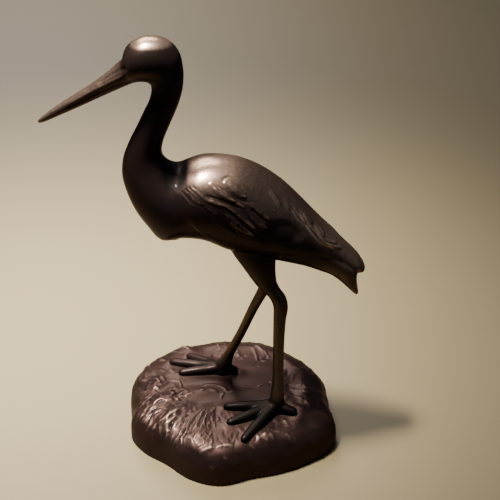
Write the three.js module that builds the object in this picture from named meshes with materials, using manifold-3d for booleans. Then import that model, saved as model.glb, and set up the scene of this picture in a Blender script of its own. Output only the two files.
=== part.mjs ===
// A small cast bronze stork, caught in mid stride on a lobed mound of earth.
// Millimetres, +Z up. The bird faces -X and shows its left flank to -Y.
// The origin is the middle of the mound's flat underside.

import * as THREE from 'three';
import Module from 'manifold-3d';

const wasm = await Module();
wasm.setup();

const TURN = 2 * Math.PI;
const CLEARANCE = 0.3;

// Head, neck and body in one run from the face to the wing tips.
// Each section spans a point of the upper line and a point of the lower line:
// upper x, upper z, lower x, lower z, half width.
const TRUNK = [
  [-35.0, 150.2, -35.0, 147.4, 1.2],
  [-34.7, 152.8, -33.9, 144.4, 4.2],
  [-33.2, 156.3, -32.0, 144.4, 5.9],
  [-30.0, 158.8, -29.9, 144.8, 6.8],
  [-26.0, 159.8, -28.2, 144.9, 7.1],
  [-20.6, 158.9, -26.8, 144.5, 6.9],
  [-16.6, 154.9, -26.0, 143.6, 6.3],
  [-15.3, 149.2, -25.8, 142.0, 5.7],
  [-15.4, 143.5, -26.1, 139.8, 5.3],
  [-16.5, 138.5, -27.0, 137.0, 5.1],
  [-18.4, 133.4, -28.9, 133.2, 5.2],
  [-20.5, 128.5, -31.4, 128.0, 5.5],
  [-22.4, 123.8, -34.0, 122.8, 6.0],
  [-23.3, 119.8, -36.3, 117.0, 6.8],
  [-23.0, 117.0, -37.1, 111.0, 8.0],
  [-21.9, 115.0, -36.2, 105.5, 9.4],
  [-19.8, 113.2, -33.8, 98.7, 11.2],
  [-17.2, 112.6, -29.9, 92.2, 12.6],
  [-13.5, 114.1, -24.8, 85.9, 13.6],
  [-8.8, 115.3, -17.6, 86.9, 14.2],
  [-3.2, 115.3, -9.9, 86.0, 14.4],
  [3.3, 114.1, -2.0, 82.2, 14.4],
  [10.2, 110.9, 6.1, 79.6, 13.9],
  [17.1, 105.7, 13.5, 78.3, 12.9],
  [23.4, 99.2, 19.5, 77.6, 11.3],
  [28.8, 93.1, 25.2, 77.0, 9.4],
  [34.0, 87.5, 31.0, 76.2, 7.5],
  [38.8, 82.7, 36.8, 74.4, 5.7],
  [43.0, 78.6, 41.6, 72.4, 4.0],
  [46.3, 75.1, 45.1, 71.0, 2.4],
  [47.4, 73.0, 46.9, 71.8, 0.8],
];
const TRUNK_STEPS = 44;
const TRUNK_AROUND = 24;

// The folded wing seen from the side: x, z round its edge, from the front of the shoulder
// down the flank, back along the belly to the tip. Above, it runs past the back.
const WING_EDGE = [
  [-22.4, 113.6],
  [-20.9, 110.6],
  [-18.8, 107.2],
  [-16.9, 104.4],
  [-14.4, 100.2],
  [-11.4, 95.8],
  [-8.0, 92.0],
  [-4.0, 89.0],
  [1.0, 86.2],
  [7.0, 84.0],
  [14.0, 82.4],
  [22.0, 81.2],
  [30.0, 79.4],
  [37.0, 76.4],
  [43.0, 72.2],
  [48.2, 69.6],
];
const WING_TOP = [-18.5, 122.0];
const WING_THICKNESS = 0.7;

// Tubes: x, y, z, half width, half height.
const BILL = [
  [-28.0, 0, 151.2, 4.2, 4.0],
  [-33.0, 0, 148.2, 4.0, 3.9],
  [-37.0, 0, 145.7, 3.2, 3.2],
  [-43.0, 0, 142.1, 2.6, 2.7],
  [-50.0, 0, 138.0, 2.0, 2.2],
  [-57.0, 0, 133.9, 1.5, 1.6],
  [-62.0, 0, 130.8, 1.0, 1.0],
  [-63.7, 0, 129.8, 0.4, 0.4],
];
// The line between the two halves of the bill, cut on both sides: x, z, half height.
const GAPE = [
  [-33.6, 147.2, 0.5],
  [-40.0, 143.3, 0.5],
  [-47.0, 139.2, 0.4],
  [-54.0, 135.2, 0.3],
];
const GAPE_DEPTH = 0.5;

const TAIL = [
  [14.0, 0, 84.6, 8.0, 5.0],
  [20.0, 0, 82.4, 8.8, 5.0],
  [27.0, 0, 79.5, 8.1, 4.3],
  [32.5, 0, 76.5, 7.3, 4.0],
  [37.0, 0, 73.2, 6.8, 3.7],
  [40.6, 0, 69.4, 6.5, 3.2],
  [43.2, 0, 66.0, 6.3, 2.3],
  [44.5, 0, 64.2, 5.6, 1.2],
];

// The left leg bears the weight, the right one steps ahead of it.
const LEFT_LEG = [
  [5.0, -4.6, 92.0, 5.0, 7.6],
  [6.6, -5.6, 86.0, 4.4, 7.6],
  [8.9, -6.4, 80.0, 3.8, 6.4],
  [10.6, -7.1, 74.6, 3.1, 4.8],
  [12.4, -7.7, 70.2, 2.6, 3.5],
  [14.6, -8.1, 67.0, 2.4, 2.6],
  [16.4, -8.4, 64.0, 2.5, 2.7],
  [17.1, -8.6, 60.5, 2.3, 2.6],
  [16.8, -8.8, 55.5, 2.0, 2.3],
  [16.6, -9.2, 48.0, 1.85, 2.1],
  [16.5, -9.8, 37.0, 1.8, 2.0],
  [16.4, -10.5, 28.0, 1.9, 2.1],
  [16.2, -11.2, 21.5, 2.2, 2.4],
  [16.0, -11.6, 16.8, 2.6, 2.8],
];
const RIGHT_LEG = [
  [4.0, 4.6, 91.0, 5.0, 7.0],
  [6.4, 5.8, 83.0, 4.2, 5.8],
  [8.9, 7.0, 75.0, 3.3, 4.2],
  [11.2, 7.8, 67.0, 2.6, 2.8],
  [12.2, 8.3, 61.5, 2.4, 2.5],
  [11.2, 8.7, 56.5, 2.1, 2.1],
  [7.3, 9.2, 47.3, 1.8, 1.8],
  [3.0, 9.9, 36.0, 1.7, 1.7],
  [-1.2, 10.4, 26.5, 1.8, 1.8],
  [-3.4, 10.6, 21.0, 2.1, 2.2],
  [-4.8, 10.6, 16.8, 2.6, 2.6],
];

// Each foot: where the toes leave the leg, then the tips, three ahead and one behind.
const LEFT_FOOT = [15.6, -11.6, 17.2];
const LEFT_TOES = [
  [-3.9, -11.4, 16.8],
  [-2.4, -20.0, 16.0],
  [3.2, -28.2, 14.6],
  [23.6, -14.8, 16.6],
];
const RIGHT_FOOT = [-5.0, 10.6, 17.2];
const RIGHT_TOES = [
  [-25.6, 17.2, 15.6],
  [-21.6, 9.2, 16.2],
  [-18.8, 21.0, 15.6],
  [1.6, 9.6, 17.0],
];
// Along a toe: share of its length, lift, radius.
const TOE = [
  [0.0, 0.7, 1.9],
  [0.3, 0.8, 1.45],
  [0.5, 0.6, 1.6],
  [0.75, 0.4, 1.35],
  [0.95, 0.1, 1.0],
  [1.0, 0.0, 0.5],
];

// Raised feathers of the near flank, mirrored to the far one: how deep their blades reach.
const BLADE_DEPTH = 1.3;
// Each is x, z of its root and tip as seen from the side, width, and how far it stands out.
const SCAPULARS = [
  [-4.6, 112.6, 7.4, 105.2, 5.0, 0.45],
  [-10.4, 111.8, 6.2, 103.0, 4.0, 0.4],
  [-10.6, 108.2, 1.8, 103.6, 3.4, 0.4],
  [-6.8, 104.4, 5.2, 98.0, 3.6, 0.4],
  [-2.4, 101.0, 8.2, 93.4, 3.6, 0.4],
];
const TERTIALS = [
  [7.0, 110.8, 21.5, 97.0, 3.0, 0.4],
  [12.6, 107.6, 30.5, 88.2, 2.8, 0.5],
  [17.6, 104.2, 38.6, 81.6, 2.6, 0.5],
];

// The mound's outline: angle in degrees from +X towards +Y, radius.
const MOUND_OUTLINE = [
  [0, 37.0],
  [20, 38.0],
  [45, 37.2],
  [65, 38.0],
  [90, 37.8],
  [115, 39.0],
  [140, 41.8],
  [160, 42.6],
  [176, 40.2],
  [185, 39.0],
  [194, 40.2],
  [207, 38.4],
  [225, 35.0],
  [245, 36.2],
  [262, 36.2],
  [280, 33.0],
  [300, 34.0],
  [318, 36.6],
  [340, 40.8],
];
// From the underside's edge over the shoulder to the middle: inset, height.
const MOUND_PROFILE = [
  [1.0, 0.0],
  [0.1, 1.6],
  [0.0, 4.4],
  [0.2, 7.4],
  [0.8, 10.0],
  [2.6, 12.2],
  [6.2, 13.6],
  [12.0, 14.6],
  [20.0, 15.5],
  [29.0, 16.0],
  [40.0, 16.2],
];
const MOUND_AROUND = 64;
const MOUND_STEPS = 15;
const MOUND_MEAN_RADIUS = 40.0;

// Clods and tufts that rise from the mound: x, y, half length, half width, heading in degrees, rise.
const TUFTS = [
  [-27.0, -5.0, 6.0, 3.0, 20, 1.2],
  [-30.0, 4.0, 5.0, 2.6, 70, 1.0],
  [-22.0, -13.0, 6.5, 3.0, 40, 1.3],
  [-12.0, -18.0, 7.0, 3.4, 75, 1.1],
  [-12.0, -2.0, 6.0, 2.6, 5, 0.9],
  [-20.0, 27.0, 6.0, 2.8, 150, 1.1],
  [-4.0, 28.0, 7.0, 2.8, 175, 1.0],
  [10.0, 27.0, 6.5, 2.8, 165, 1.0],
  [22.0, 17.0, 6.5, 3.0, 130, 1.1],
  [27.0, 2.0, 6.0, 3.0, 95, 1.1],
  [25.0, -12.0, 6.5, 3.0, 60, 1.0],
  [12.0, -25.5, 5.0, 2.6, 20, 0.9],
];

// Smooth value of a table's rows at a share of its length, through every row.
function along(rows, share) {
  const last = rows.length - 1;
  const place = Math.min(Math.max(share, 0), 1) * last;
  const i = Math.min(Math.floor(place), last - 1);
  const f = place - i;
  const b = rows[i];
  const c = rows[i + 1];
  const a = i > 0 ? rows[i - 1] : b.map((value, k) => 2 * value - c[k]);
  const d = i + 2 <= last ? rows[i + 2] : c.map((value, k) => 2 * value - b[k]);
  return b.map((value, k) => {
    const slope = (c[k] - a[k]) * f;
    const bend = (2 * a[k] - 5 * b[k] + 4 * c[k] - d[k]) * f ** 2;
    const twist = (3 * b[k] - a[k] - 3 * c[k] + d[k]) * f ** 3;
    return 0.5 * (2 * value + slope + bend + twist);
  });
}

// The mound's radius at an angle, smooth all the way round.
function outlineRadius(degrees) {
  const angle = ((degrees % 360) + 360) % 360;
  const count = MOUND_OUTLINE.length;
  let i = count - 1;
  while (i > 0 && MOUND_OUTLINE[i][0] > angle) i -= 1;
  const knot = (k) => {
    const wrapped = ((k % count) + count) % count;
    const turns = Math.floor(k / count) * 360;
    return [MOUND_OUTLINE[wrapped][0] + turns, MOUND_OUTLINE[wrapped][1]];
  };
  const [a, b, c, d] = [knot(i - 1), knot(i), knot(i + 1), knot(i + 2)];
  const span = c[0] - b[0];
  const f = (angle - b[0]) / span;
  const slopeB = ((c[1] - a[1]) / (c[0] - a[0])) * span;
  const slopeC = ((d[1] - b[1]) / (d[0] - b[0])) * span;
  const start = (2 * f ** 3 - 3 * f ** 2 + 1) * b[1] + (f ** 3 - 2 * f ** 2 + f) * slopeB;
  const end = (3 * f ** 2 - 2 * f ** 3) * c[1] + (f ** 3 - f ** 2) * slopeC;
  return start + end;
}

// A closed solid through rings of equal length, with a fan on each end.
function skin(rings) {
  const around = rings[0].length;
  const points = rings.flat();
  const triangles = [];
  for (let i = 0; i + 1 < rings.length; i += 1) {
    for (let j = 0; j < around; j += 1) {
      const next = (j + 1) % around;
      const low = i * around;
      const high = low + around;
      triangles.push([low + j, low + next, high + next]);
      triangles.push([low + j, high + next, high + j]);
    }
  }
  const ends = [[0, true], [rings.length - 1, false]];
  for (const [row, first] of ends) {
    const ring = rings[row];
    const centre = [0, 1, 2].map((k) => ring.reduce((sum, p) => sum + p[k], 0) / around);
    const hub = points.length;
    points.push(centre);
    for (let j = 0; j < around; j += 1) {
      const a = row * around + j;
      const b = row * around + ((j + 1) % around);
      triangles.push(first ? [hub, b, a] : [hub, a, b]);
    }
  }
  return solid(points, triangles);
}

// A manifold from points and triangles, turned inside out if they wind the wrong way.
function solid(points, triangles) {
  let volume = 0;
  for (const [a, b, c] of triangles) {
    const p = points[a];
    const q = points[b];
    const r = points[c];
    volume += p[0] * (q[1] * r[2] - q[2] * r[1]);
    volume += p[1] * (q[2] * r[0] - q[0] * r[2]);
    volume += p[2] * (q[0] * r[1] - q[1] * r[0]);
  }
  const wound = volume > 0 ? triangles : triangles.map(([a, b, c]) => [a, c, b]);
  const mesh = new wasm.Mesh({
    numProp: 3,
    vertProperties: new Float32Array(points.flat()),
    triVerts: new Uint32Array(wound.flat()),
  });
  return new wasm.Manifold(mesh);
}

function length(v) {
  return Math.hypot(v[0], v[1], v[2]);
}

function unit(v) {
  const size = length(v);
  return v.map((value) => value / size);
}

function cross(a, b) {
  return [
    a[1] * b[2] - a[2] * b[1],
    a[2] * b[0] - a[0] * b[2],
    a[0] * b[1] - a[1] * b[0],
  ];
}

function dot(a, b) {
  return a[0] * b[0] + a[1] * b[1] + a[2] * b[2];
}

// The trunk, thicker all over by `grow`.
function trunk(grow, steps, around) {
  const rings = [];
  for (let i = 0; i <= steps; i += 1) {
    const [topX, topZ, lowX, lowZ, half] = along(TRUNK, i / steps);
    const middle = [(topX + lowX) / 2, (topZ + lowZ) / 2];
    const reach = [(topX - lowX) / 2, (topZ - lowZ) / 2];
    const stretch = 1 + grow / Math.hypot(reach[0], reach[1]);
    const ring = [];
    for (let j = 0; j < around; j += 1) {
      const angle = (j / around) * TURN;
      const lift = Math.cos(angle) * stretch;
      const side = Math.sin(angle) * (half + grow);
      ring.push([middle[0] + reach[0] * lift, side, middle[1] + reach[1] * lift]);
    }
    rings.push(ring);
  }
  return skin(rings);
}

// A tube of oval sections along rows of x, y, z, half width, half height.
function tube(rows, steps, around, widthAxis = [0, 1, 0], grow = 0) {
  const rings = [];
  for (let i = 0; i <= steps; i += 1) {
    const here = along(rows, i / steps);
    const before = along(rows, (i - 0.5) / steps);
    const after = along(rows, (i + 0.5) / steps);
    const heading = unit([0, 1, 2].map((k) => after[k] - before[k]));
    const lean = dot(widthAxis, heading);
    const wide = unit(widthAxis.map((value, k) => value - lean * heading[k]));
    const tall = cross(heading, wide);
    const ring = [];
    for (let j = 0; j < around; j += 1) {
      const angle = (j / around) * TURN;
      const across = Math.cos(angle) * (here[3] + grow);
      const up = Math.sin(angle) * (here[4] + grow);
      ring.push([0, 1, 2].map((k) => here[k] + wide[k] * across + tall[k] * up));
    }
    rings.push(ring);
  }
  return skin(rings);
}

function mirrored(shape) {
  return shape.mirror([0, 1, 0]);
}

// Both wings as one plate laid over the back and flanks, with a clean edge.
function wings() {
  const tip = WING_EDGE[WING_EDGE.length - 1];
  const outline = [...WING_EDGE, [tip[0], WING_TOP[1]], WING_TOP];
  const section = new wasm.CrossSection([outline], 'EvenOdd');
  const prism = section.extrude(60, 0, 0, [1, 1], true).rotate([90, 0, 0]);
  const plate = trunk(WING_THICKNESS, TRUNK_STEPS, TRUNK_AROUND);
  return plate.intersect(prism);
}

// A point of the near flank's skin and its outward direction, at x, z seen from the side.
function flank(x, z) {
  let best = null;
  for (let i = 0; i <= 120; i += 1) {
    const [topX, topZ, lowX, lowZ, half] = along(TRUNK, 0.4 + (0.6 * i) / 120);
    const reach = [(topX - lowX) / 2, (topZ - lowZ) / 2];
    const size = Math.hypot(reach[0], reach[1]);
    const off = [x - (topX + lowX) / 2, z - (topZ + lowZ) / 2];
    const miss = Math.abs(off[0] * reach[1] - off[1] * reach[0]) / size;
    const lift = (off[0] * reach[0] + off[1] * reach[1]) / size ** 2;
    if (best === null || miss < best.miss) best = { miss, lift, half, size, reach };
  }
  const lift = Math.min(Math.abs(best.lift), 0.98) * Math.sign(best.lift);
  const side = Math.sqrt(1 - lift ** 2);
  const half = best.half + WING_THICKNESS;
  const lean = lift / best.size ** 2;
  return {
    point: [x, -half * side, z],
    outward: unit([best.reach[0] * lean, -side / half, best.reach[1] * lean]),
  };
}

// One feather: a slim blade sunk in the flank so that only its back stands out.
function feather([rootX, rootZ, tipX, tipZ, width, rise]) {
  const rows = [];
  const middle = flank((rootX + tipX) / 2, (rootZ + tipZ) / 2);
  for (let i = 0; i <= 4; i += 1) {
    const share = i / 4;
    const swell = Math.sin(Math.PI * (0.14 + 0.72 * share));
    const { point, outward } = flank(rootX + (tipX - rootX) * share, rootZ + (tipZ - rootZ) * share);
    const depth = BLADE_DEPTH * swell;
    const centre = point.map((value, k) => value + outward[k] * (rise * swell - depth));
    rows.push([...centre, (width / 2) * swell, depth]);
  }
  const heading = unit([0, 1, 2].map((k) => rows[4][k] - rows[0][k]));
  return tube(rows, 4, 7, cross(heading, middle.outward));
}

// The slit between the two halves of the bill, on one side.
function gape() {
  const near = [];
  for (const [x, z, half] of GAPE) {
    const share = (x + 28) / (-63.7 + 28);
    const width = along(BILL, share)[3];
    near.push([x, -(width + 0.6 - GAPE_DEPTH), z, half, 0.6]);
  }
  return tube(near, 6, 6, unit([0.5, 0, 0.87]));
}

function toe(foot, tip, grow) {
  const reach = [0, 1, 2].map((k) => tip[k] - foot[k]);
  const rows = TOE.map(([share, lift, radius]) => [
    foot[0] + reach[0] * share,
    foot[1] + reach[1] * share,
    foot[2] + reach[2] * share + lift,
    radius,
    radius * 0.9,
  ]);
  const across = unit(cross([0, 0, 1], reach));
  return tube(rows, 7, 7, across, grow);
}

function feet(grow) {
  const left = LEFT_TOES.map((tip) => toe(LEFT_FOOT, tip, grow));
  const right = RIGHT_TOES.map((tip) => toe(RIGHT_FOOT, tip, grow));
  return [...left, ...right];
}

function legs(grow) {
  return [
    tube(LEFT_LEG, 17, 9, [0, 1, 0], grow),
    tube(RIGHT_LEG, 15, 9, [0, 1, 0], grow),
  ];
}

function stork() {
  const feathers = [...SCAPULARS, ...TERTIALS].map(feather);
  const pieces = [
    trunk(0, TRUNK_STEPS, TRUNK_AROUND),
    wings(),
    tube(BILL, 10, 12),
    tube(TAIL, 9, 16),
    ...feathers,
    ...feathers.map(mirrored),
    ...legs(0),
    ...feet(0),
  ];
  const slit = gape();
  return wasm.Manifold.union(pieces).subtract(slit).subtract(mirrored(slit));
}

// The ground's height above the plain profile where clods and tufts rise.
function tuftRise(x, y) {
  let rise = 0;
  for (const [centreX, centreY, long, wide, heading, height] of TUFTS) {
    const angle = (heading / 360) * TURN;
    const dx = x - centreX;
    const dy = y - centreY;
    const run = (dx * Math.cos(angle) + dy * Math.sin(angle)) / long;
    const side = (dy * Math.cos(angle) - dx * Math.sin(angle)) / wide;
    const fall = Math.exp(-(run ** 2 + side ** 2));
    rise += height * fall;
  }
  return rise;
}

function mound() {
  const rings = [];
  for (let i = 0; i < MOUND_STEPS; i += 1) {
    const [inset, height] = along(MOUND_PROFILE, i / MOUND_STEPS);
    const ring = [];
    for (let j = 0; j < MOUND_AROUND; j += 1) {
      const degrees = (j / MOUND_AROUND) * 360;
      const angle = (degrees / 360) * TURN;
      const radius = outlineRadius(degrees) * (1 - inset / MOUND_MEAN_RADIUS);
      const x = radius * Math.cos(angle);
      const y = radius * Math.sin(angle);
      const wake = Math.min(1, height / 13) ** 2;
      ring.push([x, y, height + wake * tuftRise(x, y)]);
    }
    rings.push(ring);
  }
  let body = skin(rings);
  for (const shape of [...legs(CLEARANCE), ...feet(CLEARANCE)]) body = body.subtract(shape);
  return body;
}

// A closed manifold as a named, flat-shaded mesh.
function meshOf(shape, name, colour) {
  const data = shape.getMesh();
  const geometry = new THREE.BufferGeometry();
  const positions = new Float32Array(data.numVert * 3);
  for (let i = 0; i < data.numVert; i += 1) {
    for (let k = 0; k < 3; k += 1) {
      positions[3 * i + k] = data.vertProperties[i * data.numProp + k];
    }
  }
  geometry.setAttribute('position', new THREE.BufferAttribute(positions, 3));
  geometry.setIndex(new THREE.BufferAttribute(new Uint32Array(data.triVerts), 1));
  geometry.computeVertexNormals();
  const material = new THREE.MeshStandardMaterial({ color: colour, metalness: 0.9, roughness: 0.4 });
  const mesh = new THREE.Mesh(geometry, material);
  mesh.name = name;
  return mesh;
}

const group = new THREE.Group();
group.name = 'bronze_stork_sculpture';
group.add(meshOf(stork(), 'stork', 0x3b2a22));
group.add(meshOf(mound(), 'mound', 0x35271f));

export default group;
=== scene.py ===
"""A cast bronze stork in mid stride on a mound of grassy earth, finished for looks.

The solids give the places and sizes. This file lays a finer skin over each of the two castings,
with the feathers, grass and tool marks that the solids leave out, and gives them their patina.
Lengths in the tables are millimetres, in the frame of the solids: +Z up, the bird faces -X.
"""

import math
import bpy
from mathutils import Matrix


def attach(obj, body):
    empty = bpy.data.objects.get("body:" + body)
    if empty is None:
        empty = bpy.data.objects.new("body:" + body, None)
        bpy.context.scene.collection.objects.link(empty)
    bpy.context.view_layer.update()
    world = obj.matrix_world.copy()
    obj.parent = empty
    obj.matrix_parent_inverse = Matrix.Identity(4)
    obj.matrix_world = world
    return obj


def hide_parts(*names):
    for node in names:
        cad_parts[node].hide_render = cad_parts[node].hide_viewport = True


bl_info = {
    "name": "Bronze Stork",
    "version": (1, 0, 0),
    "blender": (4, 5, 0),
    "location": "View3D > Sidebar > Bronze Stork",
    "description": "Builds the castings, patina and studio of a small bronze stork",
    "category": "Add Mesh",
}

import bpy
import mathutils
import numpy as np

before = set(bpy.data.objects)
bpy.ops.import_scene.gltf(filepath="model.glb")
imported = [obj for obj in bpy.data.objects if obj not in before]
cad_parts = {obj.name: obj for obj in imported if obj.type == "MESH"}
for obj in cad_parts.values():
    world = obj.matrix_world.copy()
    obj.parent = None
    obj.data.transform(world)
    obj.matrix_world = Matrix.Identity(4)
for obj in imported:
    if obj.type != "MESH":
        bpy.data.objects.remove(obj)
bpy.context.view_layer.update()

MM = 0.001
TURN = 2 * math.pi

# Upper x, upper z, lower x, lower z, half width: the sections from the face to the wing tips.
TRUNK = (
    (-35.0, 150.2, -35.0, 147.4, 1.2), (-34.7, 152.8, -33.9, 144.4, 4.2),
    (-33.2, 156.3, -32.0, 144.4, 5.9), (-30.0, 158.8, -29.9, 144.8, 6.8),
    (-26.0, 159.8, -28.2, 144.9, 7.1), (-20.6, 158.9, -26.8, 144.5, 6.9),
    (-16.6, 154.9, -26.0, 143.6, 6.3), (-15.3, 149.2, -25.8, 142.0, 5.7),
    (-15.4, 143.5, -26.1, 139.8, 5.3), (-16.5, 138.5, -27.0, 137.0, 5.1),
    (-18.4, 133.4, -28.9, 133.2, 5.2), (-20.5, 128.5, -31.4, 128.0, 5.5),
    (-22.4, 123.8, -34.0, 122.8, 6.0), (-23.3, 119.8, -36.3, 117.0, 6.8),
    (-23.0, 117.0, -37.1, 111.0, 8.0), (-21.9, 115.0, -36.2, 105.5, 9.4),
    (-19.8, 113.2, -33.8, 98.7, 11.2), (-17.2, 112.6, -29.9, 92.2, 12.6),
    (-13.5, 114.1, -24.8, 85.9, 13.6), (-8.8, 115.3, -17.6, 86.9, 14.2),
    (-3.2, 115.3, -9.9, 86.0, 14.4), (3.3, 114.1, -2.0, 82.2, 14.4), (10.2, 110.9, 6.1, 79.6, 13.9),
    (17.1, 105.7, 13.5, 78.3, 12.9), (23.4, 99.2, 19.5, 77.6, 11.3), (28.8, 93.1, 25.2, 77.0, 9.4),
    (34.0, 87.5, 31.0, 76.2, 7.5), (38.8, 82.7, 36.8, 74.4, 5.7), (42.8, 78.3, 41.6, 72.4, 4.9),
    (45.9, 74.7, 45.1, 71.0, 3.8), (47.1, 72.8, 46.7, 71.5, 2.2),
)

# The folded wing's edge seen from the side: x, z, from the front of the shoulder to the tip.
WING_EDGE = (
    (-22.4, 113.6), (-20.9, 110.6), (-18.8, 107.2), (-16.9, 104.4), (-14.4, 100.2), (-11.4, 95.8),
    (-8.0, 92.0), (-4.0, 89.0), (1.0, 86.2), (7.0, 84.0), (14.0, 82.4), (22.0, 81.2), (30.0, 79.4),
    (37.0, 76.4), (43.0, 72.2), (48.2, 69.6),
)
WING_TOP = (-18.5, 122.0)
WING_THICKNESS = 0.7

# Tubes: x, y, z, half width, half height.
BILL = (
    (-26.0, 0, 151.9, 6.0, 5.0), (-30.0, 0, 149.8, 5.7, 4.7), (-33.4, 0, 147.9, 4.9, 4.1),
    (-37.2, 0, 145.4, 4.0, 3.4), (-43.0, 0, 141.8, 2.9, 2.7), (-50.0, 0, 137.8, 2.3, 2.2),
    (-57.0, 0, 133.8, 1.7, 1.6), (-62.0, 0, 130.8, 1.0, 1.0), (-63.7, 0, 129.8, 0.4, 0.4),
)
# The tail in sections like the trunk's, but squarer, so that its sides run on from the wings.
TAIL_ROUNDNESS = 0.66
TAIL = (
    (20.0, 94.0, 14.6, 79.4, 11.0), (26.0, 89.0, 20.0, 77.9, 9.8), (31.5, 84.4, 25.3, 76.2, 8.7),
    (36.4, 80.4, 29.8, 74.2, 7.9), (40.6, 77.0, 33.8, 72.3, 7.2), (43.6, 74.0, 37.2, 69.5, 6.6),
    (44.2, 70.8, 40.0, 66.8, 6.3), (44.2, 67.4, 42.2, 64.7, 6.0), (44.7, 65.0, 43.7, 63.4, 5.3),
    (45.0, 63.6, 44.5, 62.8, 3.8),
)
# The breast's lowest feathers, which end in a short step.
BREAST_TUFT = (
    (-25.6, 0, 90.6, 5.0, 1.6), (-23.8, 0, 89.6, 6.6, 2.8), (-21.2, 0, 89.0, 7.2, 3.1),
    (-18.8, 0, 89.1, 7.0, 2.9), (-17.8, 0, 89.6, 5.4, 1.8),
)
LEFT_LEG = (
    (5.0, -4.6, 92.0, 5.0, 7.6), (6.6, -5.6, 86.0, 4.4, 7.6), (8.9, -6.4, 80.0, 3.8, 6.4),
    (10.6, -7.1, 74.6, 3.1, 4.8), (12.4, -7.7, 70.2, 2.6, 3.5), (14.6, -8.1, 67.0, 2.4, 2.6),
    (16.4, -8.4, 64.0, 2.5, 2.7), (17.1, -8.6, 60.5, 2.3, 2.6), (16.8, -8.8, 55.5, 2.0, 2.3),
    (16.6, -9.2, 48.0, 1.85, 2.1), (16.5, -9.8, 37.0, 1.8, 2.0), (16.4, -10.5, 28.0, 1.9, 2.1),
    (16.2, -11.2, 21.5, 2.5, 2.7), (16.0, -11.6, 16.8, 3.3, 3.5),
)
RIGHT_LEG = (
    (4.0, 4.6, 91.0, 5.0, 7.0), (6.4, 5.8, 83.0, 4.2, 5.8), (8.9, 7.0, 75.0, 3.3, 4.2),
    (11.2, 7.8, 67.0, 2.6, 2.8), (12.2, 8.3, 61.5, 2.4, 2.5), (11.2, 8.7, 56.5, 2.1, 2.1),
    (7.3, 9.2, 47.3, 1.8, 1.8), (3.0, 9.9, 36.0, 1.7, 1.7), (-1.2, 10.4, 26.5, 1.8, 1.8),
    (-3.4, 10.6, 21.0, 2.4, 2.7), (-4.8, 10.6, 16.8, 3.3, 3.6),
)
LEFT_FOOT = (15.6, -11.6, 17.2)
LEFT_TOES = (
    (-3.9, -11.4, 16.8), (-2.4, -20.0, 16.0), (3.2, -28.2, 14.6), (23.6, -14.8, 16.6),
)
RIGHT_FOOT = (-5.0, 10.6, 17.2)
RIGHT_TOES = (
    (-25.6, 17.2, 15.6), (-21.6, 9.2, 16.2), (-18.8, 21.0, 15.6), (1.6, 9.6, 17.0),
)
# Along a toe: share of its length, lift, radius.
TOE = (
    (0.0, 1.2, 2.7), (0.12, 1.1, 2.3), (0.3, 0.9, 2.0), (0.55, 0.8, 1.95), (0.8, 0.6, 1.75),
    (0.92, 0.5, 1.5), (0.98, 0.4, 1.0), (1.0, 0.4, 0.4),
)

# Feathers of a flank, seen from the side: x, z of root, middle and tip, then width and rise.
FEATHERS = (
    ((-7.3, 111.7), (-3.3, 109.6), (1.3, 106.7), 2.9, 0.50),
    ((-2.5, 111.9), (1.1, 110.2), (4.9, 107.3), 3.1, 0.42),
    ((4.4, 111.4), (7.2, 109.7), (10.0, 107.3), 3.0, 0.10),
    ((-9.5, 108.0), (-5.3, 106.8), (-1.6, 105.5), 2.0, 0.42),
    ((-5.1, 106.5), (-0.9, 105.0), (1.4, 103.1), 1.6, 0.30),
    ((0.6, 107.0), (2.6, 105.8), (4.4, 104.3), 1.3, 0.30),
    ((0.1, 104.4), (3.6, 101.8), (8.1, 97.3), 2.1, 0.42),
    ((-2.1, 103.1), (1.9, 99.1), (7.7, 94.5), 3.0, 0.42),
    ((5.7, 102.4), (8.8, 99.3), (12.4, 96.8), 2.1, 0.42),
    ((5.8, 105.4), (9.4, 103.3), (12.5, 99.8), 2.8, 0.34),
    ((10.0, 107.3), (12.4, 104.5), (14.6, 101.2), 2.6, 0.16),
    ((-9.1, 106.2), (-7.2, 104.7), (-4.4, 102.9), 2.0, 0.16),
    ((-6.4, 102.2), (-2.5, 98.9), (2.0, 94.5), 3.2, 0.12),
    ((-13.9, 109.1), (-12.2, 107.7), (-9.5, 106.0), 1.5, 0.20),
    ((-16.7, 108.2), (-14.5, 106.8), (-11.8, 105.3), 1.3, 0.14),
    ((-11.4, 110.2), (-9.9, 108.8), (-8.7, 107.6), 1.4, 0.16),
)
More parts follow.
